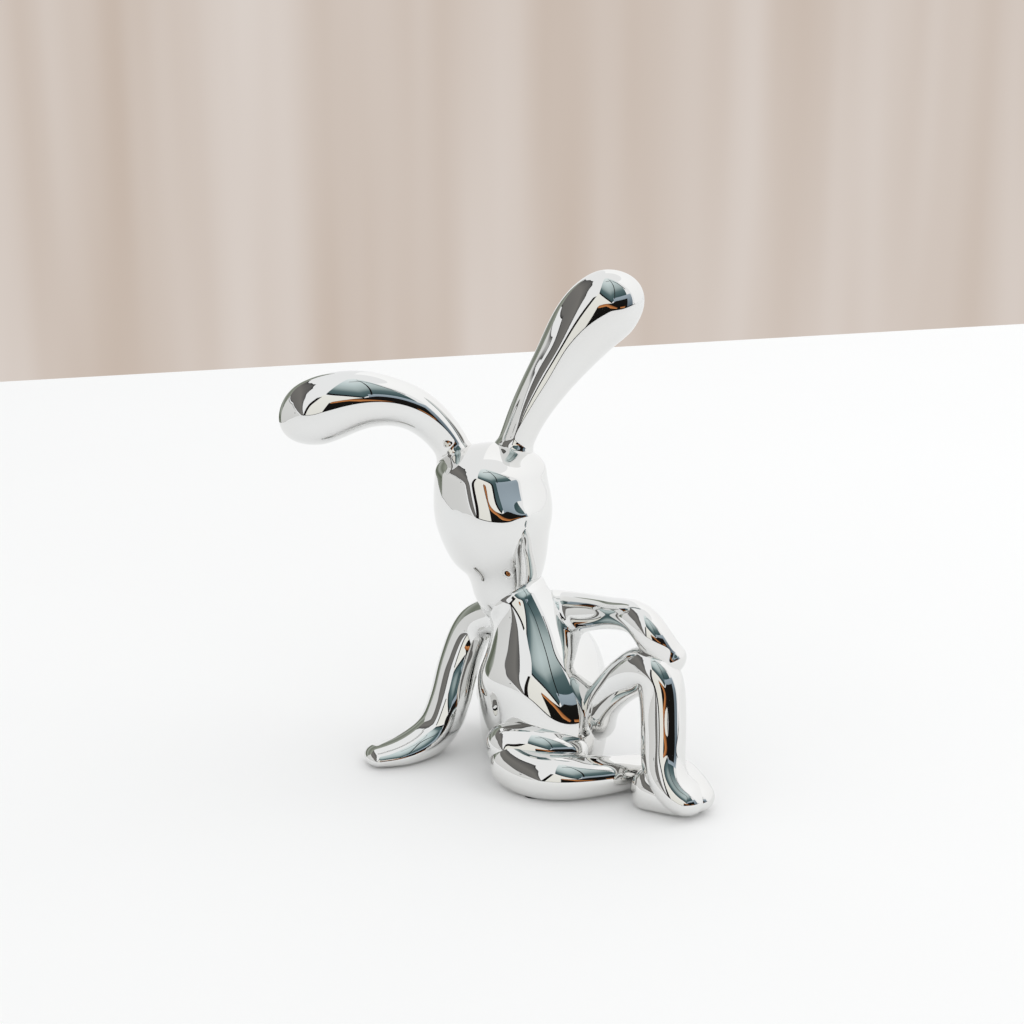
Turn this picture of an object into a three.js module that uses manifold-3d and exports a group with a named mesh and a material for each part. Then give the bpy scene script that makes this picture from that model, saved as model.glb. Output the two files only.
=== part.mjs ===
// A sitting rabbit ornament, cast in separate plated pieces that are pinned and glued together.
// Millimetres, +Z up. The viewer stands on the -Y side, so the rabbit's right hand is at -X.
// Places are measured from the middle of the seat, on the ground.

import * as THREE from 'three';
import { mergeVertices } from 'three/addons/utils/BufferGeometryUtils.js';
import Module from 'manifold-3d';

const wasm = await Module();
wasm.setup();

// Assembly clearances
const glueGap = 0.3;
const soleHeight = 0.5;

// Turn of the body and of the head, in degrees, from the viewer towards the rabbit's left
const bodyTurn = 38;
const headTurn = 35;

// Torso: a pear on a flat seat, leaning back at the top
const torsoHeight = 72;
const torsoLeanX = -12;
const torsoLeanY = 5;
const torsoBow = 1;
const torsoTopRounding = 6;
const seatForward = 6;
const seatWidth = 42;
const seatDepth = 57.5;
const seatRounding = 6;
const hipWidth = 49;
const hipDepth = 57.5;
const bellyWidth = 51.5;
const bellyDepth = 46;
const chestWidth = 40;
const chestDepth = 34;
const neckWidth = 26;
const neckDepth = 25;

// Head: an egg with its narrow end down, over the top of the neck
const headHeight = 71;
const headOverNeck = 16.5;
const headBottomX = -8.5;
const headBow = 8;
const headLeanX = 0.3;
const headLeanY = 8.5;
const throatRounding = 9;
const crownRounding = 10.5;
const throatWidth = 16.5;
const jawWidth = 31;
const jawDepth = 27;
const cheekWidth = 41;
const cheekDepth = 40;
const headWidth = 47;
const headDepth = 47;
const crownWidth = 45;
const crownDepth = 36;
const noseWidth = 5;
const noseLength = 5;
const noseHeight = 4;
const noseAboveThroat = 49.5;

// Ears: both are paddles, thin at the root and full at the tip
const earRootWidth = 14.2;
const earRootSunk = 9;
const earRootBack = 4;
const earTipLength = 14;
const rightEarRootOut = 12.8;
const rightEarRootDrop = 5;
const rightEarReach = 68.2;
const rightEarRise = 31.2;
const rightEarDroop = 8.5;
const rightEarForward = 12.5;
const rightEarWidth = 26.8;
const rightEarThickness = 19;
const leftEarRootOut = 6.7;
const leftEarReach = 51.3;
const leftEarRise = 69.9;
const leftEarBack = 7.5;
const leftEarWidth = 29;
const leftEarThickness = 20;

// Arms
const shoulderDrop = 14;
const shoulderBack = 2;
const leftShoulderOut = 12;
const shoulderThickness = 16;
const rightArmThickness = 16.8;
const rightHandOut = 55;
const rightHandForward = 9;
const rightHandLength = 32;
const rightHandWidth = 17;
const rightHandHeight = 8.7;
const rightFingersForward = 5;
const leftElbowOut = 42;
const leftElbowForward = 31;
const leftElbowHeight = 70;
const leftArmThickness = 13;
const leftHandThickness = 14;
const leftHandBeyondKnee = 12;
const leftHandAboveKnee = 1.5;

// Raised left leg
const leftHipOut = 21;
const leftHipForward = 14.3;
const leftHipHeight = 14.9;
const leftKneeOut = 41;
const leftKneeForward = 34;
const leftKneeHeight = 50.1;
const leftAnkleOut = 46.5;
const leftAnkleForward = 51.5;
const haunchThickness = 17;
const thighThickness = 15.5;
const kneeThickness = 18.4;
const shinThickness = 17.8;
const ankleThickness = 17;

// Folded right leg
const rightHipOut = 17;
const rightHipForward = 23;
const rightHipHeight = 10.5;
const rightKneeOut = 13.5;
const rightKneeForward = 27;
const rightKneeHeight = 11;
const rightKneeBeyond = 8.5;
const rightAnkleOut = 53;
const rightAnkleForward = 35;
const rightThighThickness = 17;
const rightShinThickness = 19;
const rightCalfThickness = 15.8;
const rightAnkleThickness = 12.5;

// Feet
const footLength = 30;
const footWidth = 17;
const footHeight = 13;
const instepForward = 2.5;
const instepRise = 4;
const ballForward = 10;
const leftHeelBehind = 13.4;
const rightHeelBehind = 4;
const leftToeTurn = -25;
const rightToeTurn = -74;

// Tail
const tailDiameter = 17;
const tailHeight = 16;
const tailProud = 2;

// Steel locating pins
const neckPinDiameter = 5;
const neckPinLength = 24;
const earPinDiameter = 3;
const earPinLength = 22;
const armPinDiameter = 3;
const armPinLength = 16;
const hipPinDiameter = 4;
const hipPinLength = 18;
const rightHipPinAlong = 0.4;
const tailPinDiameter = 3;
const tailPinLength = 14;

// Non-slip pads let into the undersides
const padThickness = 1.5;
const seatPadDiameter = 22;
const handPadLength = 12;
const handPadWidth = 6;
const handPadOut = 4.5;
const handPadForward = 1.5;
const shinPadLength = 20;
const shinPadWidth = 6;
const shinPadAlong = 0.33;
const footPadLength = 12;
const footPadWidth = 6;

// Mesh density
const limbSides = 18;
const bodySides = 26;
const ringStep = 4.5;
const tipRings = 4;
const pinSides = 16;

// Finishes
const silver = { color: 0xd9dcdc, roughness: 0.04, metalness: 1 };
const steel = { color: 0x9ea1a3, roughness: 0.35, metalness: 1 };
const rubber = { color: 0x2b2b2c, roughness: 0.95, metalness: 0 };

const at = (x, y, z) => new THREE.Vector3(x, y, z);
const radians = THREE.MathUtils.degToRad;
const facing = (degrees) => at(Math.sin(radians(degrees)), -Math.cos(radians(degrees)), 0);
const bodyFront = facing(bodyTurn);
const headFront = facing(headTurn);
const up = at(0, 0, 1);
const viewer = at(0, -1, 0);
const seat = at(0, 0, 0);
const ahead = (from, direction, reach, rise = 0) => (
  from.clone().addScaledVector(direction, reach).addScaledVector(up, rise));
// Points between two places: each is a share of the way, and how far off the straight line
const bends = (from, to, offsets) => offsets.map(
  ([share, ...offset]) => from.clone().lerp(to, share).add(at(...offset)));

// Booleans

function weld(geometry) {
  const bare = geometry.clone();
  bare.deleteAttribute('normal');
  bare.deleteAttribute('uv');
  return mergeVertices(bare, 1e-4);
}

function solidOf(geometry) {
  const welded = weld(geometry);
  const triangles = [];
  const index = welded.index.array;
  for (let i = 0; i < index.length; i += 3) {
    const [a, b, c] = index.subarray(i, i + 3);
    if (a !== b && b !== c && c !== a) triangles.push(a, b, c);
  }
  return new wasm.Manifold(new wasm.Mesh({
    numProp: 3,
    vertProperties: new Float32Array(welded.attributes.position.array),
    triVerts: new Uint32Array(triangles),
  }));
}

function geometryOf(solid) {
  const mesh = solid.getMesh();
  const geometry = new THREE.BufferGeometry();
  geometry.setAttribute('position', new THREE.BufferAttribute(mesh.vertProperties, 3));
  geometry.setIndex(new THREE.BufferAttribute(mesh.triVerts, 1));
  geometry.computeVertexNormals();
  return geometry;
}

function cut(solid, ...tools) {
  return tools.reduce((rest, tool) => rest.subtract(tool), solid);
}

// Swept forms

// Smooth value of one column of a station list at a share of the form's length
function stationValue(stations, share, column) {
  const last = stations.length - 1;
  let i = 0;
  while (i < last - 1 && stations[i + 1][0] < share) i += 1;
  const slope = (n) => {
    if (n === 0 || n === last) return 0;
    const rise = stations[n + 1][column] - stations[n - 1][column];
    return rise / (stations[n + 1][0] - stations[n - 1][0]);
  };
  const [from, to] = [stations[i], stations[i + 1]];
  const span = to[0] - from[0];
  const t = THREE.MathUtils.clamp((share - from[0]) / span, 0, 1);
  const [t2, t3] = [t * t, t * t * t];
  return (2 * t3 - 3 * t2 + 1) * from[column] + (t3 - 2 * t2 + t) * span * slope(i)
    + (3 * t2 - 2 * t3) * to[column] + (t3 - t2) * span * slope(i + 1);
}

const pathOf = ({ points }) => new THREE.CatmullRomCurve3(points, false, 'centripetal');

// A closed form along a curve. Each station is [share of length, width, depth], the depth is
// measured along depthAxis, and both ends are rounded off over their tip lengths.
function sweep(form, grow = 0) {
  const { stations, tips, depthAxis, sides = limbSides } = form;
  const path = pathOf(form);
  const length = path.getLength();
  const [startTip, endTip] = tips.map((tip) => tip + grow);
  const profile = [];
  const addRing = (radius, along) => profile.push(new THREE.Vector2(radius, along));
  for (let i = 0; i <= tipRings; i += 1) {
    const angle = (i / tipRings) * (Math.PI / 2);
    addRing(i === 0 ? 0 : Math.sin(angle), startTip * (1 - Math.cos(angle)) - grow);
  }
  const middle = length + 2 * grow - startTip - endTip;
  const middleRings = Math.max(1, Math.round(middle / ringStep));
  for (let i = 1; i < middleRings; i += 1) addRing(1, startTip - grow + (middle * i) / middleRings);
  for (let i = tipRings; i >= 0; i -= 1) {
    const angle = (i / tipRings) * (Math.PI / 2);
    addRing(i === 0 ? 0 : Math.sin(angle), length + grow - endTip * (1 - Math.cos(angle)));
  }
  const geometry = new THREE.LatheGeometry(profile, sides);
  const vertices = geometry.attributes.position;
  for (let i = 0; i < vertices.count; i += 1) {
    const along = vertices.getY(i);
    const share = THREE.MathUtils.clamp(along / length, 0, 1);
    const tangent = path.getTangentAt(share);
    const centre = path.getPointAt(share).addScaledVector(tangent, along - share * length);
    const depth = depthAxis.clone().addScaledVector(tangent, -depthAxis.dot(tangent)).normalize();
    const across = new THREE.Vector3().crossVectors(tangent, depth);
    const halfWidth = stationValue(stations, share, 1) / 2 + grow;
    const halfDepth = stationValue(stations, share, 2) / 2 + grow;
    centre.addScaledVector(across, vertices.getX(i) * halfWidth);
    centre.addScaledVector(depth, vertices.getZ(i) * halfDepth);
    vertices.setXYZ(i, centre.x, centre.y, centre.z);
  }
  return solidOf(geometry);
}

// The same form, swollen by the glue line, cuts the pieces that are fitted to it
const swollen = (form) => sweep(form, glueGap);

// Torso form

const torsoSpine = (share) => {
  const lean = share ** 3;
  const bow = torsoBow * Math.sin(Math.PI * Math.min(1, share * 1.3));
  const back = (seatForward + torsoLeanY) * share - seatForward;
  return at(torsoLeanX * lean + bow, back, torsoHeight * share);
};
const torsoTop = torsoSpine(1);
const torsoForm = {
  points: [
    ahead(torsoSpine(0), up, soleHeight - seatRounding / 2),
    ...[0.15, 0.35, 0.55, 0.75, 1].map(torsoSpine),
  ],
  stations: [
    [0, seatWidth, seatDepth * 0.92],
    [0.16, (seatWidth + hipWidth) / 2, seatDepth],
    [0.33, hipWidth, hipDepth],
    [0.55, bellyWidth, bellyDepth],
    [0.69, chestWidth, chestDepth],
    [0.86, neckWidth, neckDepth],
    [1, neckWidth * 0.9, neckDepth * 0.9],
  ],
  tips: [seatRounding, torsoTopRounding],
  depthAxis: bodyFront,
  sides: bodySides,
};

// Head form

const headBottom = torsoTop.clone().add(at(headBottomX, 0, -headOverNeck));
const headSpine = (share) => {
  const bow = headBow * Math.sin(Math.PI * Math.min(1, share * 1.6)) * (1 - share);
  const lean = share ** 2 * (3 - 2 * share);
  return headBottom.clone().add(at(bow + headLeanX * lean, headLeanY * share, headHeight * share));
};
const headForm = {
  points: [0, 0.12, 0.3, 0.5, 0.75, 1].map(headSpine),
  stations: [
    [0, throatWidth, throatWidth],
    [0.13, (throatWidth + jawWidth) / 2, (throatWidth + jawDepth) / 2],
    [0.27, jawWidth, jawDepth],
    [0.44, cheekWidth, cheekDepth],
    [0.62, headWidth, headDepth],
    [0.81, (headWidth + crownWidth) / 2, (headDepth + crownDepth) / 2],
    [1, crownWidth, crownDepth],
  ],
  tips: [throatRounding, crownRounding],
  depthAxis: headFront,
  sides: bodySides,
};
const noseShare = noseAboveThroat / headHeight;
const noseOut = stationValue(headForm.stations, noseShare, 2) / 2 - noseLength * 0.3;
const noseCentre = ahead(headSpine(noseShare), headFront, noseOut);
const noseForm = {
  points: [-0.5, 0, 0.5].map((share) => ahead(noseCentre, headFront, share * noseLength)),
  stations: [[0, noseWidth, noseHeight], [1, noseWidth, noseHeight]],
  tips: [noseLength / 2 - 0.1, noseLength / 2 - 0.1],
  depthAxis: up,
};

// Ear forms, each rooted in the crown

const crown = headSpine(1);
const earStations = (width, thickness) => [
  [0, earRootWidth, earRootWidth],
  [0.16, earRootWidth, earRootWidth],
  [0.45, width * 0.68, thickness * 0.8],
  [0.78, width, thickness],
  [1, width * 0.86, thickness * 0.86],
];
const rightEarRoot = crown.clone().add(at(-rightEarRootOut, earRootBack, -earRootSunk - rightEarRootDrop));
const leftEarRoot = crown.clone().add(at(leftEarRootOut, earRootBack, -earRootSunk));
// Each place is a share of the ear's reach, of its lean towards the back and of its rise
const earPath = (root, reach, lean, rise, places) => places.map(
  ([out, back, high]) => root.clone().add(at(reach * out, lean * back, rise * high)));
const rightEarForm = {
  points: earPath(rightEarRoot, -rightEarReach, -rightEarForward, rightEarRise, [
    [0, 0, 0], [0.05, 0, 0.41], [0.26, 0.33, 0.92], [0.53, 0.67, 1.08], [0.77, 0.83, 0.97],
    [1, 1, (rightEarRise - rightEarDroop) / rightEarRise],
  ]),
  stations: earStations(rightEarWidth, rightEarThickness),
  tips: [3, earTipLength],
  depthAxis: viewer,
};
const leftEarForm = {
  points: earPath(leftEarRoot, leftEarReach, leftEarBack, leftEarRise, [
    [0, 0, 0], [0.15, 0.15, 0.285], [0.4, 0.48, 0.585], [0.68, 0.8, 0.852], [1, 1, 1],
  ]),
  stations: earStations(leftEarWidth, leftEarThickness),
  tips: [3, earTipLength],
  depthAxis: viewer,
};

// Right arm form: the prop, with its hand flat on the ground

const shoulderHeight = torsoHeight - shoulderDrop;
const rightShoulder = at(torsoLeanX, torsoLeanY + shoulderBack, shoulderHeight);
const rightHand = at(-rightHandOut, -rightHandForward, rightHandHeight / 2);
const rightArmForm = {
  points: [
    rightShoulder,
    ...bends(rightShoulder, rightHand, [
      [0.25, -4, 14, 3], [0.5, -0.5, 13, 0.1], [0.7, 4.3, 8, -2], [0.87, 6, 5.5, -3],
    ]),
    rightHand,
    rightHand.clone().add(at(-rightHandLength / 2, -rightFingersForward, -1)),
  ],
  stations: [
    [0, shoulderThickness, shoulderThickness],
    [0.3, rightArmThickness, rightArmThickness],
    [0.62, rightArmThickness, rightArmThickness],
    [0.86, rightHandWidth, rightHandHeight * 1.25],
    [1, rightHandWidth * 0.8, rightHandHeight * 0.8],
  ],
  tips: [5, 5],
  depthAxis: up,
};

// Left leg form: hip, thigh, raised knee, shin and foot, with a heel behind the ankle

const toeDirection = (degrees) => at(Math.cos(radians(degrees)), Math.sin(radians(degrees)), 0);
const leftHip = at(leftHipOut, -leftHipForward, leftHipHeight);
const leftKnee = at(leftKneeOut, -leftKneeForward, leftKneeHeight);
const leftAnkle = at(leftAnkleOut, -leftAnkleForward, footHeight / 2);
const leftToes = toeDirection(leftToeTurn);
const leftHeel = ahead(leftAnkle, leftToes, -leftHeelBehind);
const leftLegForm = {
  points: [
    leftHip,
    ...bends(leftHip, leftKnee, [
      [0.25, -4.6, 0.5, -0.6], [0.35, -5, 0.4, 3], [0.55, -3.7, 0.3, 5.2], [0.75, -1.5, 0.2, 5.6],
      [0.94, 0.7, 0, 3.7],
    ]),
    ...bends(leftKnee, leftAnkle, [
      [0.06, 3.2, 0, 1.1], [0.2, 3.8, 0, 0], [0.53, 2.3, 0, 0], [0.75, 1, 0, 0],
    ]),
    ahead(leftAnkle, leftToes, instepForward, instepRise),
    ahead(leftAnkle, leftToes, ballForward),
    ahead(leftHeel, leftToes, footLength, -1.3),
  ],
  stations: [
    [0, thighThickness, haunchThickness],
    [0.21, thighThickness, thighThickness],
    [0.39, kneeThickness, kneeThickness],
    [0.6, shinThickness, shinThickness],
    [0.79, ankleThickness, ankleThickness],
    [0.93, footHeight, footWidth],
    [1, footHeight * 0.85, footWidth * 0.85],
  ],
  tips: [7, 7],
  depthAxis: at(0.82, 0.57, 0),
};
const leftHeelForm = {
  points: [
    ahead(leftHeel, leftToes, 0, 1),
    ahead(leftAnkle, leftToes, -leftHeelBehind * 0.3, 0.5),
    ahead(leftAnkle, leftToes, ballForward + 2, -1),
  ],
  stations: [
    [0, footWidth * 0.8, footHeight * 1.5],
    [0.5, footWidth * 0.9, footHeight * 1.25],
    [1, footWidth * 0.85, footHeight],
  ],
  tips: [7, 6],
  depthAxis: up,
};

// Right leg forms: thigh across the belly, shin from the folded knee across the front, and foot

const rightHip = at(rightHipOut, -rightHipForward, rightHipHeight);
const rightKnee = at(-rightKneeOut, -rightKneeForward, rightKneeHeight);
const rightAnkle = at(rightAnkleOut, -rightAnkleForward, footHeight / 2);
const rightToes = toeDirection(rightToeTurn);
const rightHeel = ahead(rightAnkle, rightToes, -rightHeelBehind);
const thighEnd = rightKnee.clone().add(at(-rightKneeBeyond, 0.5, 1.5));
const rightThighForm = {
  points: [
    rightHip, ...bends(rightHip, thighEnd, [[0.4, 0, -4, 3.5], [0.8, 0, -0.5, 2.5]]), thighEnd,
  ],
  stations: [
    [0, rightThighThickness, rightThighThickness],
    [1, rightShinThickness, rightShinThickness],
  ],
  tips: [7, 9],
  depthAxis: up,
};
const rightShinForm = {
  points: [
    rightKnee.clone().add(at(-rightKneeBeyond / 2, 2, 1)),
    ...bends(rightKnee, rightAnkle, [
      [0.12, 0, -8, -2.5], [0.3, 0.5, -11, -1.5], [0.58, 0, -6.5, -0.5], [0.82, 0, 2.8, -1],
    ]),
    rightAnkle,
  ],
  stations: [
    [0, rightShinThickness, rightShinThickness],
    [0.35, rightShinThickness, rightShinThickness],
    [0.57, rightCalfThickness, rightCalfThickness],
    [0.83, rightAnkleThickness, rightAnkleThickness],
    [1, rightAnkleThickness, rightAnkleThickness],
  ],
  tips: [9, 6],
  depthAxis: up,
};
const rightFootForm = {
  points: [
    rightHeel, ahead(rightHeel, rightToes, footLength / 2), ahead(rightHeel, rightToes, footLength, -1),
  ],
  stations: [
    [0, footWidth * 0.8, footHeight * 1.15],
    [0.6, footWidth, footHeight],
    [1, footWidth * 0.85, footHeight * 0.8],
  ],
  tips: [7, 7],
  depthAxis: up,
};

// Left arm form: shoulder, elbow and the hand over the left knee

const leftShoulder = rightShoulder.clone().add(at(leftShoulderOut, 0, 0));
const leftElbow = at(leftElbowOut, -leftElbowForward, leftElbowHeight);
const leftFingers = leftKnee.clone().add(at(leftHandBeyondKnee, -1, leftHandAboveKnee));
const leftArmForm = {
  points: [
    leftShoulder,
    ...bends(leftShoulder, leftElbow, [[0.25, 0.5, 6, -2], [0.6, 0, 6.5, -1], [0.92, -1, -1, 0.3]]),
    ...bends(leftElbow, leftFingers, [[0.3, -3, -0.5, -0.7], [0.65, -2, 1.5, -1.3]]),
    leftFingers,
  ],
  stations: [
    [0, shoulderThickness, shoulderThickness + 2],
    [0.2, shoulderThickness, shoulderThickness],
    [0.38, leftArmThickness, leftArmThickness],
    [0.6, leftArmThickness, leftArmThickness],
    [0.8, leftHandThickness, leftHandThickness],
    [1, leftHandThickness * 0.9, leftHandThickness * 0.9],
  ],
  tips: [7, 5],
  depthAxis: up,
};

// Tail form: a ball let into the back of the hips

const tailCentre = ahead(
  torsoSpine(tailHeight / torsoHeight), bodyFront, -(hipDepth / 2 + tailProud));
const tailForm = {
  points: [0.5, 0, -0.5].map((share) => ahead(tailCentre, bodyFront, share * tailDiameter)),
  stations: [[0, tailDiameter, tailDiameter], [1, tailDiameter, tailDiameter]],
  tips: [tailDiameter * 0.49, tailDiameter * 0.49],
  depthAxis: up,
};

// Locating pins, each straight from its start, and the sockets that they sit in

function pin(start, direction, diameter, length) {
  const axis = direction.clone().normalize();
  const centre = start.clone().addScaledVector(axis, length / 2);
  const turn = new THREE.Quaternion().setFromUnitVectors(at(0, 1, 0), axis);
  const radius = diameter / 2;
  const socket = new THREE.CylinderGeometry(
    radius + glueGap, radius + glueGap, length + 2 * glueGap, pinSides);
  socket.applyQuaternion(turn).translate(centre.x, centre.y, centre.z);
  return {
    centre,
    turn,
    shape: new THREE.CylinderGeometry(radius, radius, length, pinSides),
    socket: solidOf(socket),
  };
}

// A pin that runs from the root of a limb along the limb's own path
function rootPin(form, diameter, length) {
  const path = pathOf(form);
  const start = path.getPointAt(1 / path.getLength());
  const direction = path.getPointAt(length / path.getLength()).sub(start);
  return pin(start, direction, diameter, length);
}

const thighMiddle = pathOf(rightThighForm).getPointAt(rightHipPinAlong);
const pins = {
  neck_pin: pin(ahead(torsoTop, up, -neckPinLength / 2), up, neckPinDiameter, neckPinLength),
  right_ear_pin: rootPin(rightEarForm, earPinDiameter, earPinLength),
  left_ear_pin: rootPin(leftEarForm, earPinDiameter, earPinLength),
  right_shoulder_pin: rootPin(rightArmForm, armPinDiameter, armPinLength),
  left_shoulder_pin: rootPin(leftArmForm, armPinDiameter, armPinLength),
  right_hip_pin: pin(
    ahead(thighMiddle, viewer, -hipPinLength / 2), viewer, hipPinDiameter, hipPinLength),
  left_hip_pin: rootPin(leftLegForm, hipPinDiameter, hipPinLength),
  tail_pin: pin(
    ahead(tailCentre, bodyFront, tailPinLength - tailDiameter / 4),
    bodyFront.clone().negate(), tailPinDiameter, tailPinLength),
};

// Pads, each a round-ended strip, and the recesses that they are glued into

function pad(centre, degrees, length, width) {
  const strip = (grow, depth) => {
    const radius = width / 2 + grow;
    const reach = Math.max(0, (length - width) / 2);
    const outline = new THREE.Shape();
    outline.absarc(reach, 0, radius, -Math.PI / 2, Math.PI / 2, false);
    outline.absarc(-reach, 0, radius, Math.PI / 2, (3 * Math.PI) / 2, false);
    return new THREE.ExtrudeGeometry(outline, { depth, bevelEnabled: false, curveSegments: 8 });
  };
  const below = 1;
  const recess = strip(glueGap, below + padThickness + glueGap);
  recess.rotateZ(radians(degrees)).translate(centre.x, centre.y, -below);
  return {
    centre: at(centre.x, centre.y, 0),
    degrees,
    shape: strip(0, padThickness),
    recess: solidOf(recess),
  };
}

const footPad = (heel, toes, degrees) => pad(
  ahead(heel, toes, footLength * 0.37), degrees, footPadLength, footPadWidth);
const handTurn = THREE.MathUtils.radToDeg(Math.atan2(rightFingersForward, rightHandLength / 2));
const shinMiddle = pathOf(rightShinForm).getPointAt(shinPadAlong);
const pads = {
  seat_pad: pad(seat, 0, seatPadDiameter, seatPadDiameter),
  right_hand_pad: pad(
    rightHand.clone().add(at(-handPadOut, -handPadForward, 0)), handTurn, handPadLength, handPadWidth),
  right_shin_pad: pad(shinMiddle, 0, shinPadLength, shinPadWidth),
  left_foot_pad: footPad(leftHeel, leftToes, leftToeTurn),
  right_foot_pad: footPad(rightHeel, rightToes, rightToeTurn),
};

// Castings: each is fitted to the ones before it, and everything below the soles is cut away

const slabSize = 400;
const groundSlab = solidOf(
  new THREE.BoxGeometry(slabSize, slabSize, slabSize).translate(0, 0, soleHeight - slabSize / 2));
const castings = {
  torso: cut(
    sweep(torsoForm), groundSlab, pads.seat_pad.recess, pins.neck_pin.socket,
    pins.right_shoulder_pin.socket, pins.left_shoulder_pin.socket, pins.right_hip_pin.socket,
    pins.left_hip_pin.socket, pins.tail_pin.socket),
  head: cut(
    sweep(headForm).add(sweep(noseForm)), swollen(torsoForm), pins.neck_pin.socket,
    pins.right_ear_pin.socket, pins.left_ear_pin.socket, pins.right_shoulder_pin.socket),
  right_ear: cut(sweep(rightEarForm), swollen(headForm), pins.right_ear_pin.socket),
  left_ear: cut(
    sweep(leftEarForm), swollen(headForm), swollen(rightEarForm), pins.left_ear_pin.socket),
  right_arm: cut(
    sweep(rightArmForm), swollen(torsoForm), swollen(headForm), groundSlab,
    pads.right_hand_pad.recess, pins.right_shoulder_pin.socket),
  right_leg: cut(
    sweep(rightThighForm).add(sweep(rightShinForm)).add(sweep(rightFootForm)),
    swollen(torsoForm), groundSlab, pads.right_shin_pad.recess, pads.right_foot_pad.recess,
    pins.right_hip_pin.socket),
  left_leg: cut(
    sweep(leftLegForm).add(sweep(leftHeelForm)), swollen(torsoForm), swollen(rightThighForm),
    swollen(rightShinForm), swollen(rightFootForm), groundSlab,
    pads.left_foot_pad.recess, pins.left_hip_pin.socket),
  left_arm: cut(
    sweep(leftArmForm), swollen(torsoForm), swollen(headForm), swollen(leftLegForm),
    pins.left_shoulder_pin.socket),
  tail: cut(sweep(tailForm), swollen(torsoForm), groundSlab, pins.tail_pin.socket),
};

// Scene graph

const figure = new THREE.Group();

function addMesh(name, geometry, finish) {
  const mesh = new THREE.Mesh(geometry, new THREE.MeshStandardMaterial(finish));
  mesh.name = name;
  figure.add(mesh);
  return mesh;
}

for (const [name, solid] of Object.entries(castings)) addMesh(name, geometryOf(solid), silver);
for (const [name, { shape, centre, turn }] of Object.entries(pins)) {
  const mesh = addMesh(name, shape, steel);
  mesh.position.copy(centre);
  mesh.quaternion.copy(turn);
}
for (const [name, { shape, centre, degrees }] of Object.entries(pads)) {
  const mesh = addMesh(name, shape, rubber);
  mesh.position.copy(centre);
  mesh.rotation.z = radians(degrees);
}

// The origin is the middle of the ground under the whole ornament
const box = new THREE.Box3().setFromObject(figure);
figure.position.set(-(box.min.x + box.max.x) / 2, -(box.min.y + box.max.y) / 2, -box.min.z);
const rabbit = new THREE.Group();
rabbit.add(figure);

export default rabbit;
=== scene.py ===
"""Sitting rabbit ornament: its mirror-plated castings, and the stage that it is shown on.

Metres, +Z up. The viewer stands on the -Y side, so the rabbit's right hand is at -X.
The rabbit's places are measured from the middle of its seat, on the ground.
"""

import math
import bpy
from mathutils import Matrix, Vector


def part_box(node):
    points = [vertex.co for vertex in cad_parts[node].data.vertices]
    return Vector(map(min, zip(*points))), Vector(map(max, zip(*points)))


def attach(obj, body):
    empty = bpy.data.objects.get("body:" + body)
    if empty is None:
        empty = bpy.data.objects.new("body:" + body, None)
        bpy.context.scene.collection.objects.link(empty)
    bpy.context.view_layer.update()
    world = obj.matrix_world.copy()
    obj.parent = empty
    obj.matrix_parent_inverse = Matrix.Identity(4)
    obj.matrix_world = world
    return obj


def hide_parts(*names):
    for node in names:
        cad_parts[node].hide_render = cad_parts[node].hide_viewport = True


bl_info = {
    "name": "Sitting Rabbit Ornament",
    "version": (1, 0, 0),
    "blender": (4, 5, 0),
    "location": "View3D > Sidebar > Rabbit",
    "description": "Builds a mirror-plated sitting rabbit and the stage that it is shown on",
    "category": "Object",
}

from collections import namedtuple

import bmesh
import bpy
import numpy as np
from bpy.props import FloatProperty, FloatVectorProperty, PointerProperty
from mathutils import Vector
from mathutils.bvhtree import BVHTree
from mathutils.geometry import interpolate_bezier

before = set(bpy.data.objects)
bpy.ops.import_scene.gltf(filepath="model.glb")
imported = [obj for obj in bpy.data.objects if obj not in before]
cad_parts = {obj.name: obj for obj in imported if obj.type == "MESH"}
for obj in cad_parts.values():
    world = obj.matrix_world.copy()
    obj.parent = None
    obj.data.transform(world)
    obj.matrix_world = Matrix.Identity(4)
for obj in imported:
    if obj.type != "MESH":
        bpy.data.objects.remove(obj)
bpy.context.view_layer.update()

SEAT_LOW, SEAT_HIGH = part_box("seat_pad")
SEAT = Vector(((SEAT_LOW.x + SEAT_HIGH.x) / 2, (SEAT_LOW.y + SEAT_HIGH.y) / 2, SEAT_LOW.z))
UP = Vector((0, 0, 1))
TOWARDS_VIEWER = Vector((0, -1, 0))

# Mesh density, in metres where it is a length
ROUTE_STEP = 0.00025
RING_STEP = 0.0012
TIP_RINGS = 14
SPAN_STEPS = 48
BODY_SIDES = 112
LIMB_SIDES = 64
SAME_PLACE = 1e-7
POLE_RADIUS = 1e-6

# Lengths that sudden changes of curve and of thickness are eased out over
FORM_EASE = 0.003
TAIL_EASE = 0.0005

# Rounding at the edge of a flat sole, and how many roundings above the sole it is felt
SOLE_EDGE = 0.0005
SOLE_EDGE_REACH = 12


# Properties

def offset(name, default, description, **limits):
    return FloatProperty(
        name=name, description=description, default=default, precision=4, unit="LENGTH",
        subtype="DISTANCE", **limits)


def length(name, default, description):
    return offset(name, default, description, min=0.0)


def turn(name, degrees, description):
    return FloatProperty(
        name=name, description=description, default=math.radians(degrees), unit="ROTATION",
        subtype="ANGLE")


def share(name, default, description):
    return FloatProperty(
        name=name, description=description, default=default, min=0.0, max=1.0, subtype="FACTOR")


def colour(name, default, description):
    return FloatVectorProperty(
        name=name, description=description, default=default, size=3, min=0.0, max=1.0,
        subtype="COLOR")


def position(name, default, description):
    return FloatVectorProperty(
        name=name, description=description, default=default, size=3, precision=4,
        unit="LENGTH", subtype="TRANSLATION")


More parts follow.
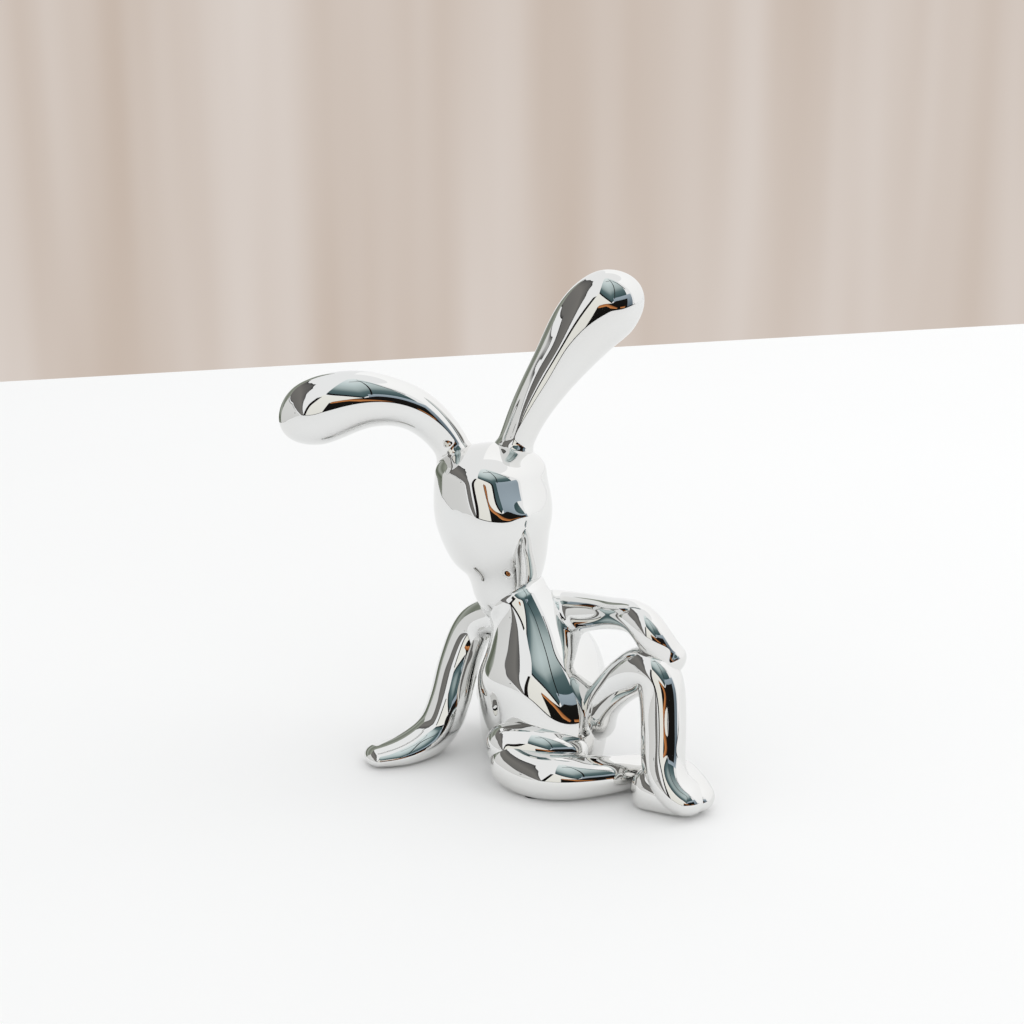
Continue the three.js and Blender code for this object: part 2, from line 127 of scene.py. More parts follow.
class RabbitBody(bpy.types.PropertyGroup):
    """Torso and tail"""
    body_turn: turn("Body turn", 38, "How far the chest faces round to the rabbit's left")
    sole_height: length("Sole height", 0.0005, "Gap under the plating, taken up by the pads")
    height: length("Torso height", 0.072, "Ground to the top of the neck")
    lean_x: offset("Lean sideways", -0.012, "Shift of the neck towards the propping arm")
    lean_y: offset("Lean back", 0.005, "Shift of the neck towards the back")
    bow: offset("Bow", 0.0010, "Sideways bow of the hips and the belly")
    top_rounding: length("Neck rounding", 0.006, "Rounded length at the top of the neck")
    seat_width: length("Seat width", 0.042, "Width of the torso where it meets the ground")
    seat_forward: length("Seat forward", 0.006, "Shift of the torso's foot towards the viewer")
    seat_depth: length("Seat depth", 0.0575, "Front to back of the torso just above the ground")
    seat_rounding: length("Seat rounding", 0.006, "Rounded length round the seat")
    hip_width: length("Hip width", 0.049, "Width of the torso at the hips")
    hip_depth: length("Hip depth", 0.0575, "Front to back at the hips")
    belly_width: length("Belly width", 0.0515, "Width of the torso at the belly")
    belly_depth: length("Belly depth", 0.046, "Front to back at the belly")
    chest_width: length("Chest width", 0.040, "Width of the torso at the chest")
    chest_depth: length("Chest depth", 0.034, "Front to back at the chest")
    neck_width: length("Neck width", 0.026, "Width of the neck")
    neck_depth: length("Neck depth", 0.025, "Front to back at the neck")
    tail_diameter: length("Tail diameter", 0.017, "Diameter of the ball tail")
    tail_height: length("Tail height", 0.016, "Middle of the tail above the ground")
    tail_proud: length("Tail proud", 0.002, "How far the tail's middle stands off the hips")


class RabbitHead(bpy.types.PropertyGroup):
    """Head"""
    head_turn: turn("Head turn", 35, "How far the face looks round to the rabbit's left")
    height: length("Head height", 0.071, "Throat to crown along the head")
    over_neck: length("Over the neck", 0.0165, "How far the head reaches down over the neck")
    bottom_x: offset("Throat sideways", -0.0085, "Shift of the throat from the top of the neck")
    bow: length("Bow", 0.008, "Sideways bow of the head between the throat and the crown")
    lean_x: offset("Lean sideways", 0.0003, "Shift of the crown sideways")
    lean_y: offset("Lean back", 0.0085, "Shift of the crown towards the back")
    throat_rounding: length("Throat rounding", 0.009, "Rounded length under the jaw")
    crown_rounding: length("Crown rounding", 0.0105, "Rounded length over the crown")
    throat_width: length("Throat width", 0.0165, "Width at the throat")
    jaw_width: length("Jaw width", 0.031, "Width at the jaw")
    jaw_depth: length("Jaw depth", 0.027, "Front to back at the jaw")
    cheek_width: length("Cheek width", 0.041, "Width at the cheeks")
    cheek_depth: length("Cheek depth", 0.040, "Front to back at the cheeks")
    width: length("Head width", 0.047, "Greatest width of the head")
    depth: length("Head depth", 0.047, "Greatest front to back size of the head")
    crown_width: length("Crown width", 0.045, "Width at the crown")
    crown_depth: length("Crown depth", 0.036, "Front to back at the crown")
    nose_width: length("Nose width", 0.0050, "Width of the soft nose")
    nose_height: length("Nose height", 0.0040, "Height of the soft nose")
    nose_lift: length("Nose lift", 0.0010, "How far the nose stands out of the face")
    nose_above_throat: length("Nose above throat", 0.0495, "Middle of the nose above the throat")


class RabbitEars(bpy.types.PropertyGroup):
    """Ears"""
    root_width: length("Root width", 0.0142, "Thickness of an ear at its root")
    root_sunk: length("Root sunk", 0.009, "How deep an ear's root sits in the crown")
    root_back: length("Root back", 0.004, "How far behind the middle of the crown the ears stand")
    root_rounding: length("Root rounding", 0.003, "Rounded length of the root, in the crown")
    tip_rounding: length("Tip rounding", 0.014, "Rounded length at the tip")
    right_root_out: length("Right root out", 0.0128, "Right root from the middle of the crown")
    right_root_drop: length("Right root drop", 0.005, "Right root below the left one")
    right_reach: length("Right ear reach", 0.0682, "Root to tip of the drooping ear, sideways")
    right_forward: offset("Right ear forward", 0.0125, "Lean of its tip towards the viewer")
    right_rise: length("Right ear rise", 0.0312, "Height of the drooping ear's arch")
    right_droop: length("Right ear droop", 0.0085, "Tip of the drooping ear below its arch")
    right_width: length("Right ear width", 0.0268, "Greatest width of the drooping ear")
    right_thickness: length("Right ear thickness", 0.019, "Greatest thickness of it")
    left_root_out: length("Left root out", 0.0067, "Left root from the middle of the crown")
    left_reach: length("Left ear reach", 0.0513, "Root to tip of the raised ear, sideways")
    left_forward: offset("Left ear forward", -0.0075, "Lean of its tip towards the viewer")
    left_rise: length("Left ear rise", 0.0699, "Root to tip of the raised ear, upwards")
    left_width: length("Left ear width", 0.029, "Greatest width of the raised ear")
    left_thickness: length("Left ear thickness", 0.020, "Greatest thickness of it")


class RabbitArms(bpy.types.PropertyGroup):
    """Arms"""
    shoulder_drop: length("Shoulder drop", 0.014, "Shoulders below the top of the neck")
    shoulder_back: length("Shoulder back", 0.002, "Shoulders behind the top of the neck")
    shoulder_thickness: length("Shoulder thickness", 0.016, "Thickness at the shoulders")
    hand_rounding: length("Hand rounding", 0.005, "Rounded length at the fingertips")
    right_shoulder_rounding: length("Right shoulder rounding", 0.005, "Rounded length of its root")
    right_thickness: length("Right arm thickness", 0.0168, "Thickness of the propping arm")
    right_hand_out: length("Right hand out", 0.055, "Right palm from the seat, sideways")
    right_hand_forward: length("Right hand forward", 0.009, "Right palm from the seat, forwards")
    right_hand_length: length("Right hand length", 0.032, "Length of the right hand")
    right_hand_width: length("Right hand width", 0.017, "Width of the right hand")
    right_hand_height: length("Right hand height", 0.0087, "Height of the right hand")
    left_shoulder_out: length("Left shoulder out", 0.012, "Left shoulder from the neck, sideways")
    left_shoulder_rounding: length("Left shoulder rounding", 0.007, "Rounded length of its root")
    left_elbow: position("Left elbow", (0.042, -0.031, 0.070), "Left elbow from the seat")
    left_thickness: length("Left arm thickness", 0.013, "Thickness of the arm over the knee")
    left_hand_thickness: length("Left hand thickness", 0.0140, "Thickness of the left hand")
    left_hand_beyond_knee: length("Left hand beyond knee", 0.012, "Left fingertips past the knee")
    left_hand_above_knee: length("Left hand above knee", 0.0015, "Left fingertips over the knee")


class RabbitLegs(bpy.types.PropertyGroup):
    """Legs and feet"""
    hip_rounding: length("Hip rounding", 0.007, "Rounded length where a thigh starts")
    left_hip: position("Left hip", (0.021, -0.0143, 0.0149), "Left hip from the seat")
    left_knee: position("Left knee", (0.041, -0.034, 0.0501), "Raised knee from the seat")
    left_ankle_out: length("Left ankle out", 0.0465, "Left ankle from the seat, sideways")
    left_ankle_forward: length("Left ankle forward", 0.0515, "Left ankle from the seat, forwards")
    haunch_thickness: length("Haunch thickness", 0.017, "Thickness of the left thigh at the hip")
    thigh_thickness: length("Thigh thickness", 0.0155, "Thickness of the left thigh")
    knee_thickness: length("Knee thickness", 0.0184, "Thickness of the raised knee")
    shin_thickness: length("Shin thickness", 0.0178, "Thickness of the left shin")
    ankle_thickness: length("Ankle thickness", 0.017, "Thickness of the left ankle")
    right_hip: position("Right hip", (0.017, -0.023, 0.0105), "Right hip from the seat")
    right_knee: position("Right knee", (-0.0135, -0.027, 0.011), "Folded knee from the seat")
    right_knee_beyond: length("Right knee beyond", 0.0085, "Folded thigh past the knee's middle")
    right_knee_rounding: length("Right knee rounding", 0.009, "Rounded length of the folded knee")
    right_ankle_out: length("Right ankle out", 0.053, "Right ankle from the seat, sideways")
    right_ankle_forward: length("Right ankle forward", 0.035, "Right ankle from the seat, forwards")
    right_thigh_thickness: length("Right thigh thickness", 0.017, "Thickness of the thigh")
    right_shin_thickness: length("Right shin thickness", 0.019, "Thickness of the folded shin")
    right_calf_thickness: length("Right calf thickness", 0.0158, "Thickness of the calf")
    right_ankle_thickness: length("Right ankle thickness", 0.0125, "Thickness of the ankle")
    ankle_rounding: length("Ankle rounding", 0.006, "Rounded length where a rod ends in an ankle")
    foot_length: length("Foot length", 0.030, "Heel to toes")
    foot_width: length("Foot width", 0.017, "Width of a foot")
    foot_height: length("Foot height", 0.013, "Height of a foot")
    foot_rounding: length("Foot rounding", 0.007, "Rounded length at the heels and the toes")
    left_heel: length("Left heel", 0.0134, "Left heel behind the ankle")
    right_heel: length("Right heel", 0.004, "Right heel behind the ankle")
    left_toe_turn: turn("Left toe turn", -25, "Direction of the left foot, from sideways")
    right_toe_turn: turn("Right toe turn", -74, "Direction of the right foot, from sideways")


class RabbitFinish(bpy.types.PropertyGroup):
    """Plating, pads and pins"""
    silver: colour("Silver", (0.80, 0.805, 0.80), "Colour of the plating")
    silver_warm: colour("Warm silver", (0.785, 0.78, 0.765), "Plating where it is a little thicker")
    polish: share("Polish", 0.012, "Roughness of the cleanest plating")
    handling: share("Handling", 0.045, "Roughness of the plating where it has been handled")
    ripple: length("Ripple", 0.00006, "Depth of the slow waves left in the hand-finished casting")
    ripple_size: length("Ripple size", 0.02, "Distance between those waves")
    fillet_reach: length("Fillet reach", 0.003, "How far the glued joints are filled out")
    fillet_lift: length("Fillet lift", 0.0010, "How much the fillets thicken a root")
    rubber: colour("Rubber", (0.022, 0.022, 0.023), "Colour of the non-slip pads")
    steel: colour("Steel", (0.50, 0.51, 0.52), "Colour of the locating pins")


class RabbitStage(bpy.types.PropertyGroup):
    """Table, curtain, light and camera"""
    elevation: turn("Camera elevation", 21, "Camera above the horizon")
    distance: length("Camera distance", 0.92, "Camera from what it looks at")
    target: position(
        "Camera target", (-0.01205, -0.0220, 0.1115), "What the camera looks at, from the seat")
    lens: FloatProperty(name="Lens", description="Focal length", default=85.0, unit="CAMERA")
    table_reach: length("Table reach", 4.0, "How far the table top and the curtain reach")
    table_back: length("Table back", 0.555, "Far edge of the table top behind the rabbit")
    table_skew: turn("Table skew", 10.8, "Turn of the table's far edge")
    table: colour("Table", (0.92, 0.92, 0.915), "Colour of the table top")
    curtain_back: length("Curtain back", 1.9, "Curtain behind the rabbit")
    curtain: colour("Curtain", (0.71, 0.645, 0.60), "Colour of the curtain")
    # The curtain is flat: the shade in its folds is painted on, in this colour and at this spacing
    curtain_fold_shade: colour("Curtain folds", (0.55, 0.455, 0.385), "Colour in the curtain's folds")
    fold_width: length("Fold width", 0.12, "Distance between the curtain's folds")
    room_light: colour("Room light", (0.97, 0.975, 0.98), "Colour of the light from all round")
    lamp: position("Lamp", (0.9, 0.3, 1.3), "Place of the round lamp")
    lamp_size: length("Lamp size", 1.2, "Diameter of the lamp")
    lamp_power: FloatProperty(
        name="Lamp power", description="Power of the lamp", default=3.0, unit="POWER")


GROUPS = {
    "rabbit_body": RabbitBody,
    "rabbit_head": RabbitHead,
    "rabbit_ears": RabbitEars,
    "rabbit_arms": RabbitArms,
    "rabbit_legs": RabbitLegs,
    "rabbit_finish": RabbitFinish,
    "rabbit_stage": RabbitStage,
}


def settings(group):
    """The sizes or colours of one group."""
    return getattr(bpy.context.scene, "rabbit_" + group)


# Forms. Each is a rod along a route measured from the seat, with stations of (share of its
# length, width, depth), the rounded length of each tip, the direction that its depth is measured
# in, how many sides it has, and the length that its sudden changes are eased out over.

Form = namedtuple(
    "Form", "route stations start_tip end_tip depth_axis sides ease", defaults=(FORM_EASE,))


def facing(angle):
    """The level direction at that angle, from the viewer round towards the rabbit's left."""
    return Vector((math.sin(angle), -math.cos(angle), 0))


def bends(start, end, offsets):
    """Points between start and end: each a share of the way, and how far off the straight line."""
    return [start.lerp(end, way) + Vector((x, y, z)) for way, x, y, z in offsets]


def round_stations(*sizes):
    """Stations of a round rod, each given by a share of its length and its thickness there."""
    return [(way, thickness, thickness) for way, thickness in sizes]


def torso_point(way):
    """The middle of the torso at that share of its height."""
    body = settings("body")
    lean = way ** 3
    bow = body.bow * math.sin(math.pi * min(1, way * 1.3))
    back = (body.seat_forward + body.lean_y) * way - body.seat_forward
    return Vector((body.lean_x * lean + bow, back, body.height * way))


def torso_form():
    body = settings("body")
    start = torso_point(0) + UP * (body.sole_height - body.seat_rounding / 2)
    stations = [
        (0, body.seat_width, body.seat_depth * 0.92),
        (0.16, (body.seat_width + body.hip_width) / 2, body.seat_depth),
        (0.33, body.hip_width, body.hip_depth),
        (0.55, body.belly_width, body.belly_depth),
        (0.69, body.chest_width, body.chest_depth),
        (0.86, body.neck_width, body.neck_depth),
        (1, body.neck_width * 0.9, body.neck_depth * 0.9),
    ]
    route = [start, *[torso_point(way) for way in (0.15, 0.35, 0.55, 0.75, 1)]]
    return Form(route, stations, body.seat_rounding, body.top_rounding,
                facing(body.body_turn), BODY_SIDES)


def head_point(way):
    """The middle of the head at that share of its height."""
    head = settings("head")
    bottom = torso_point(1) + Vector((head.bottom_x, 0, -head.over_neck))
    bow = head.bow * math.sin(math.pi * min(1, way * 1.6)) * (1 - way)
    lean = way**2 * (3 - 2 * way)
    return bottom + Vector((bow + head.lean_x * lean, head.lean_y * way, head.height * way))


def head_form():
    head = settings("head")
    throat = head.throat_width
    stations = [
        (0, throat, throat),
        (0.13, (throat + head.jaw_width) / 2, (throat + head.jaw_depth) / 2),
        (0.27, head.jaw_width, head.jaw_depth),
        (0.44, head.cheek_width, head.cheek_depth),
        (0.62, head.width, head.depth),
        (0.81, (head.width + head.crown_width) / 2, (head.depth + head.crown_depth) / 2),
        (1, head.crown_width, head.crown_depth),
    ]
    route = [head_point(way) for way in (0, 0.12, 0.3, 0.5, 0.75, 1)]
    return Form(route, stations, head.throat_rounding, head.crown_rounding,
                facing(head.head_turn), BODY_SIDES)


def ear_form(root, reach, forward, rise, width, thickness, path):
    """An ear along a path given in shares of its reach, its forward lean and its rise."""
    ears = settings("ears")
    stations = [
        (0, ears.root_width, ears.root_width),
        (0.16, ears.root_width, ears.root_width),
        (0.45, width * 0.68, thickness * 0.8),
        (0.78, width, thickness),
        (1, width * 0.86, thickness * 0.86),
    ]
    route = [root + Vector((reach * out, -forward * front, rise * high))
             for out, front, high in path]
    return Form(
        route, stations, ears.root_rounding, ears.tip_rounding, TOWARDS_VIEWER, LIMB_SIDES)


def right_ear_form():
    ears = settings("ears")
    root = head_point(1) + Vector(
        (-ears.right_root_out, ears.root_back, -ears.root_sunk - ears.right_root_drop))
    path = [(0, 0, 0), (0.05, 0, 0.41), (0.26, 0.33, 0.92), (0.53, 0.67, 1.08), (0.77, 0.83, 0.97),
            (1, 1, (ears.right_rise - ears.right_droop) / ears.right_rise)]
    return ear_form(root, -ears.right_reach, ears.right_forward, ears.right_rise, ears.right_width,
                    ears.right_thickness, path)


def left_ear_form():
    ears = settings("ears")
    root = head_point(1) + Vector((ears.left_root_out, ears.root_back, -ears.root_sunk))
    path = [(0, 0, 0), (0.15, 0.15, 0.285), (0.4, 0.48, 0.585), (0.68, 0.8, 0.852), (1, 1, 1)]
    return ear_form(root, ears.left_reach, ears.left_forward, ears.left_rise, ears.left_width,
                    ears.left_thickness, path)


def shoulder_at(out):
    """A shoulder, that far out from the top of the neck towards the rabbit's left."""
    body, arms = settings("body"), settings("arms")
    return Vector((body.lean_x + out, body.lean_y + arms.shoulder_back,
                   body.height - arms.shoulder_drop))


def right_arm_form():
    arms = settings("arms")
    shoulder = shoulder_at(0)
    hand = Vector((-arms.right_hand_out, -arms.right_hand_forward, arms.right_hand_height / 2))
    fingers = hand + Vector((-arms.right_hand_length / 2, -0.005, -0.001))
    route = [shoulder, *bends(shoulder, hand, [
        (0.25, -0.004, 0.014, 0.003), (0.5, -0.0005, 0.013, 0.0001), (0.7, 0.0043, 0.008, -0.002),
        (0.87, 0.006, 0.0055, -0.003)]), hand, fingers]
    thick = arms.right_thickness
    stations = [
        (0, arms.shoulder_thickness, arms.shoulder_thickness),
        (0.3, thick, thick),
        (0.62, thick, thick),
        (0.86, arms.right_hand_width, arms.right_hand_height * 1.25),
        (1, arms.right_hand_width * 0.8, arms.right_hand_height * 0.8),
    ]
    return Form(route, stations, arms.right_shoulder_rounding, arms.hand_rounding, UP, LIMB_SIDES)


def left_arm_form():
    arms = settings("arms")
    shoulder = shoulder_at(arms.left_shoulder_out)
    elbow, knee = arms.left_elbow, settings("legs").left_knee
    fingers = knee + Vector((arms.left_hand_beyond_knee, -0.001, arms.left_hand_above_knee))
    route = [shoulder, *bends(shoulder, elbow, [
        (0.25, 0.0005, 0.006, -0.002), (0.6, 0, 0.0065, -0.001), (0.92, -0.001, -0.001, 0.0003)]),
        *bends(elbow, fingers, [(0.3, -0.003, -0.0005, -0.0007), (0.65, -0.002, 0.0015, -0.0013)]),
        fingers]
    stations = [
        (0, arms.shoulder_thickness, arms.shoulder_thickness * 1.125),
        *round_stations(
            (0.2, arms.shoulder_thickness), (0.38, arms.left_thickness),
            (0.6, arms.left_thickness), (0.8, arms.left_hand_thickness),
            (1, arms.left_hand_thickness * 0.9)),
    ]
    return Form(route, stations, arms.left_shoulder_rounding, arms.hand_rounding, UP, LIMB_SIDES)


def left_ankle():
    legs = settings("legs")
    return Vector((legs.left_ankle_out, -legs.left_ankle_forward, legs.foot_height / 2))


def toes_along(toe_turn):
    """The level direction of a foot, that far round from sideways."""
    return Vector((math.cos(toe_turn), math.sin(toe_turn), 0))


def from_ankle(ankle, toes, places):
    """Points given by how far they are from the ankle, towards the toes and upwards."""
    return [ankle + toes * along + UP * up for along, up in places]


def left_leg_form():
    legs = settings("legs")
    hip, knee, ankle = legs.left_hip, legs.left_knee, left_ankle()
    toes = toes_along(legs.left_toe_turn)
    across_leg = Vector((0.82, 0.57, 0))
    route = [hip,
             *bends(hip, knee, [
                 (0.25, -0.0046, 0.0005, -0.0006), (0.35, -0.0050, 0.0004, 0.0030),
                 (0.55, -0.0037, 0.0003, 0.0052), (0.75, -0.0015, 0.0002, 0.0056),
                 (0.94, 0.0007, 0, 0.0037)]),
             *bends(knee, ankle, [
                 (0.06, 0.0032, 0, 0.0011), (0.2, 0.0038, 0, 0), (0.53, 0.0023, 0, 0),
                 (0.75, 0.001, 0, 0)]),
             *from_ankle(ankle, toes, [
                 (0.0025, 0.004), (0.010, 0), (legs.foot_length - legs.left_heel, -0.0013)])]
    stations = [
        (0, legs.thigh_thickness, legs.haunch_thickness),
        (0.21, legs.thigh_thickness, legs.thigh_thickness),
        (0.39, legs.knee_thickness, legs.knee_thickness),
        (0.6, legs.shin_thickness, legs.shin_thickness),
        (0.79, legs.ankle_thickness, legs.ankle_thickness),
        (0.93, legs.foot_height, legs.foot_width),
        (1, legs.foot_height * 0.85, legs.foot_width * 0.85),
    ]
    return Form(route, stations, legs.hip_rounding, legs.foot_rounding, across_leg, LIMB_SIDES)


def right_ankle():
    legs = settings("legs")
    return Vector((legs.right_ankle_out, -legs.right_ankle_forward, legs.foot_height / 2))


def right_thigh_form():
    """The folded leg from its hip, under the belly, to its knee."""
    legs = settings("legs")
    hip = legs.right_hip
    knee = legs.right_knee + Vector((-legs.right_knee_beyond, 0.0005, 0.0015))
    route = [hip, *bends(hip, knee, [(0.4, 0, -0.0040, 0.0035), (0.8, 0, -0.0005, 0.0025)]), knee]
    stations = round_stations((0, legs.right_thigh_thickness), (1, legs.right_shin_thickness))
    return Form(route, stations, legs.hip_rounding, legs.right_knee_rounding, UP, LIMB_SIDES)


def right_leg_form():
    """The folded leg from its knee to its ankle."""
    legs = settings("legs")
    knee, ankle = legs.right_knee, right_ankle()
    route = [knee + Vector((-legs.right_knee_beyond / 2, 0.002, 0.001)),
             *bends(knee, ankle, [(0.12, 0, -0.008, -0.0025), (0.3, 0.0005, -0.011, -0.0015),
                                  (0.58, 0, -0.0065, -0.0005), (0.82, 0, 0.0028, -0.001)]), ankle]
    stations = round_stations(
        (0, legs.right_shin_thickness), (0.35, legs.right_shin_thickness),
        (0.57, legs.right_calf_thickness), (0.83, legs.right_ankle_thickness),
        (1, legs.right_ankle_thickness))
    return Form(route, stations, legs.right_knee_rounding, legs.ankle_rounding, UP, LIMB_SIDES)


def left_heel_form():
    legs = settings("legs")
    route = from_ankle(left_ankle(), toes_along(legs.left_toe_turn), [
        (-legs.left_heel, 0.001), (-0.004, 0.0005), (0.012, -0.001)])
    stations = [
        (0, legs.foot_width * 0.8, legs.foot_height * 1.5),
        (0.5, legs.foot_width * 0.9, legs.foot_height * 1.25),
        (1, legs.foot_width * 0.85, legs.foot_height),
    ]
    return Form(route, stations, legs.foot_rounding, legs.ankle_rounding, UP, LIMB_SIDES)


def right_foot_form():
    legs = settings("legs")
    heel, toe = -legs.right_heel, legs.foot_length - legs.right_heel
    route = from_ankle(right_ankle(), toes_along(legs.right_toe_turn), [
        (heel, 0), ((heel + toe) / 2, 0), (toe, -0.001)])
    stations = [
        (0, legs.foot_width * 0.8, legs.foot_height * 1.15),
        (0.6, legs.foot_width, legs.foot_height),
        (1, legs.foot_width * 0.85, legs.foot_height * 0.8),
    ]
    return Form(route, stations, legs.foot_rounding, legs.foot_rounding, UP, LIMB_SIDES)


def tail_form():
    body = settings("body")
    front = facing(body.body_turn)
    hips = torso_point(body.tail_height / body.height)
    middle = hips - front * (body.hip_depth / 2 + body.tail_proud)
    size = body.tail_diameter
    rounding = size * 0.49
    route = [middle + front * size * way for way in (0.5, 0, -0.5)]
    return Form(route, round_stations((0, size), (1, size)), rounding, rounding, UP, LIMB_SIDES,
                TAIL_EASE)


# Making a form's mesh

def route_points(points):
    """Close points along the centripetal curve through the given ones."""
    ends = [2 * points[0] - points[1], *points, 2 * points[-1] - points[-2]]
    line = [points[0]]
    for before, start, end, after in zip(ends, ends[1:], ends[2:], ends[3:]):
        gap0, gap1, gap2 = [math.sqrt((b - a).length)
                            for a, b in ((before, start), (start, end), (end, after))]
        leave = (start - before) / gap0 - (end - before) / (gap0 + gap1) + (end - start) / gap1
        arrive = (end - start) / gap1 - (after - start) / (gap1 + gap2) + (after - end) / gap2
        line += interpolate_bezier(
            start, start + leave * gap1 / 3, end - arrive * gap1 / 3, end, SPAN_STEPS)[1:]
    return np.array(line)


def station_sizes(stations, ways):
    """Width and depth at each share of the way, smooth through the stations."""
    table = np.array(stations, float)
    slopes = np.zeros_like(table)
    slopes[1:-1] = (table[2:] - table[:-2]) / (table[2:, :1] - table[:-2, :1])
    span = np.clip(np.searchsorted(table[:, 0], ways) - 1, 0, len(table) - 2)
    gap = table[span + 1, 0] - table[span, 0]
    t = ((ways - table[span, 0]) / gap)[:, None]
    gap = gap[:, None]
    sizes = ((2 * t**3 - 3 * t**2 + 1) * table[span] + (t**3 - 2 * t**2 + t) * gap * slopes[span]
             + (3 * t**2 - 2 * t**3) * table[span + 1] + (t**3 - t**2) * gap * slopes[span + 1])
    return sizes[:, 1:]


def relaxed(rows, reach):
    """The rows with their sudden changes of curve eased out over that length."""
    rows = rows.copy()
    for _ in range(round(2 * (reach / ROUTE_STEP) ** 2)):
        rows[1:-1] = (rows[:-2] + 2 * rows[1:-1] + rows[2:]) / 4
    return rows


def spun_rod(form, total):
    """A closed rod of unit radius and that length along Z, rounded at both ends."""
    quarter = [math.pi / 2 * step / TIP_RINGS for step in range(TIP_RINGS + 1)]
    outline = [(math.sin(angle), form.start_tip * (1 - math.cos(angle))) for angle in quarter]
    middle = total - form.start_tip - form.end_tip
    rings = max(1, round(middle / RING_STEP))
    outline += [(1, form.start_tip + middle * ring / rings) for ring in range(1, rings)]
    outline += [(math.sin(angle), total - form.end_tip * (1 - math.cos(angle)))
                for angle in reversed(quarter)]
    bm = bmesh.new()
    verts = [bm.verts.new((radius, 0, along)) for radius, along in outline]
    edges = [bm.edges.new(pair) for pair in zip(verts, verts[1:])]
    bmesh.ops.spin(
        bm, geom=verts + edges, cent=(0, 0, 0), axis=(0, 0, 1), angle=2 * math.pi,
        steps=form.sides, use_merge=True)
    bmesh.ops.remove_doubles(bm, verts=bm.verts, dist=SAME_PLACE)
    return bm


def bent(bm, form, total, rows):
    """Bends the rod along rows of place, width and depth, and says which way is outwards."""
    rod = np.array([vert.co for vert in bm.verts])
    grid = np.linspace(0, total, len(rows))
    along = np.clip(rod[:, 2], 0, total)
    heading = np.gradient(rows[:, :3], axis=0)
    centre, tangent = [np.stack([np.interp(along, grid, column) for column in table.T], axis=1)
                       for table in (rows[:, :3], heading)]
    tangent /= np.linalg.norm(tangent, axis=1, keepdims=True)
    width, depth = [np.interp(along, grid, rows[:, column]) for column in (3, 4)]
    axis = np.array(form.depth_axis)
    ahead = axis - tangent * (tangent @ axis)[:, None]
    ahead /= np.linalg.norm(ahead, axis=1, keepdims=True)
    across = np.cross(tangent, ahead)
    radial = across * (rod[:, 0] * width / 2)[:, None] + ahead * (rod[:, 1] * depth / 2)[:, None]
    for vert, place in zip(bm.verts, centre + radial):
        vert.co = place
    return radial


def form_mesh(form):
    """The form as a closed mesh, and which way is outwards at each vertex."""
    line = route_points(form.route)
    lengths = np.concatenate([[0], np.cumsum(np.linalg.norm(np.diff(line, axis=0), axis=1))])
    total = lengths[-1]
    steps = np.linspace(0, total, round(total / ROUTE_STEP) + 1)
    places = np.stack([np.interp(steps, lengths, column) for column in line.T], axis=1)
    sizes = station_sizes(form.stations, steps / total)
    rows = relaxed(np.hstack([places, sizes]), form.ease)
    bm = spun_rod(form, total)
    radial = bent(bm, form, total, rows)
    bmesh.ops.translate(bm, verts=bm.verts, vec=SEAT)
    bmesh.ops.recalc_face_normals(bm, faces=bm.faces)
    return bm, radial


def surface(form):
    """A form's own surface, for fitting other pieces to it."""
    bm, _ = form_mesh(form)
    tree = BVHTree.FromBMesh(bm)
    bm.free()
    return tree


def flare(bm, radial, host):
    """Thickens the rod where it comes out of its host, as a filled glue joint does."""
    finish = settings("finish")
    reach, lift = finish.fillet_reach, finish.fillet_lift
    for vert, out in zip(bm.verts, radial):
        size = np.linalg.norm(out)
        if size < POLE_RADIUS:
            continue
        place, normal, _, _ = host.find_nearest(vert.co)
        height = (vert.co - place).dot(normal)
        if height < reach:
            near = 1 - max(0, height) / reach
            vert.co += Vector(out / size) * lift * near * near


def settle(bm):
    """Flattens what would sink below the sole, with a small rounding at its edge."""
    sole = SEAT.z + settings("body").sole_height
    for vert in bm.verts:
        rise = (vert.co.z - sole) / SOLE_EDGE
        if rise < SOLE_EDGE_REACH:
            vert.co.z = sole + SOLE_EDGE * math.log1p(math.exp(max(rise, -SOLE_EDGE_REACH)))


def raise_nose(bm):
    """Lifts a soft nose out of the face."""
    head = settings("head")
    front = facing(head.head_turn)
    side = front.cross(UP)
    half_depth = head.depth / 2
    tip = SEAT + head_point(head.nose_above_throat / head.height) + front * half_depth
    for vert in bm.verts:
        off = vert.co - tip
        if off.dot(front) > -half_depth:
            across, above = off.dot(side) / head.nose_width, off.dot(UP) / head.nose_height
            vert.co += front * head.nose_lift * math.exp(-2 * (across**2 + above**2))


def finished(bm, name, nodes):
    """The mesh as a smooth plated piece that stands for its CAD nodes."""
    for face in bm.faces:
        face.smooth = True
    mesh = bpy.data.meshes.new(name)
    bm.to_mesh(mesh)
    bm.free()
    piece = bpy.data.objects.new(name, mesh)
    bpy.context.scene.collection.objects.link(piece)
    rounding = piece.modifiers.new("Rounding", "SUBSURF")
    rounding.levels = rounding.render_levels = 1
    mesh.materials.append(plating())
    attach(piece, "root")
    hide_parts(*nodes)


def plated(name, form, nodes, host=None):
    """Builds a form as a plated piece, filleted to its host and flat where it rests."""
    bm, radial = form_mesh(form)
    if host:
        flare(bm, radial, host)
    settle(bm)
    finished(bm, "plated_" + name, nodes)


# Materials

def new_material(name):
    material = bpy.data.materials.new(name)
    material.use_nodes = True
    nodes = material.node_tree.nodes
    return material, nodes, material.node_tree.links, nodes["Principled BSDF"]


def noise(nodes, links, scale, detail=2.0):
    """A noise texture in the object's own coordinates."""
    place = nodes.new("ShaderNodeTexCoord")
    texture = nodes.new("ShaderNodeTexNoise")
    texture.inputs["Scale"].default_value = scale
    texture.inputs["Detail"].default_value = detail
    links.new(place.outputs["Object"], texture.inputs["Vector"])
    return texture.outputs["Fac"]


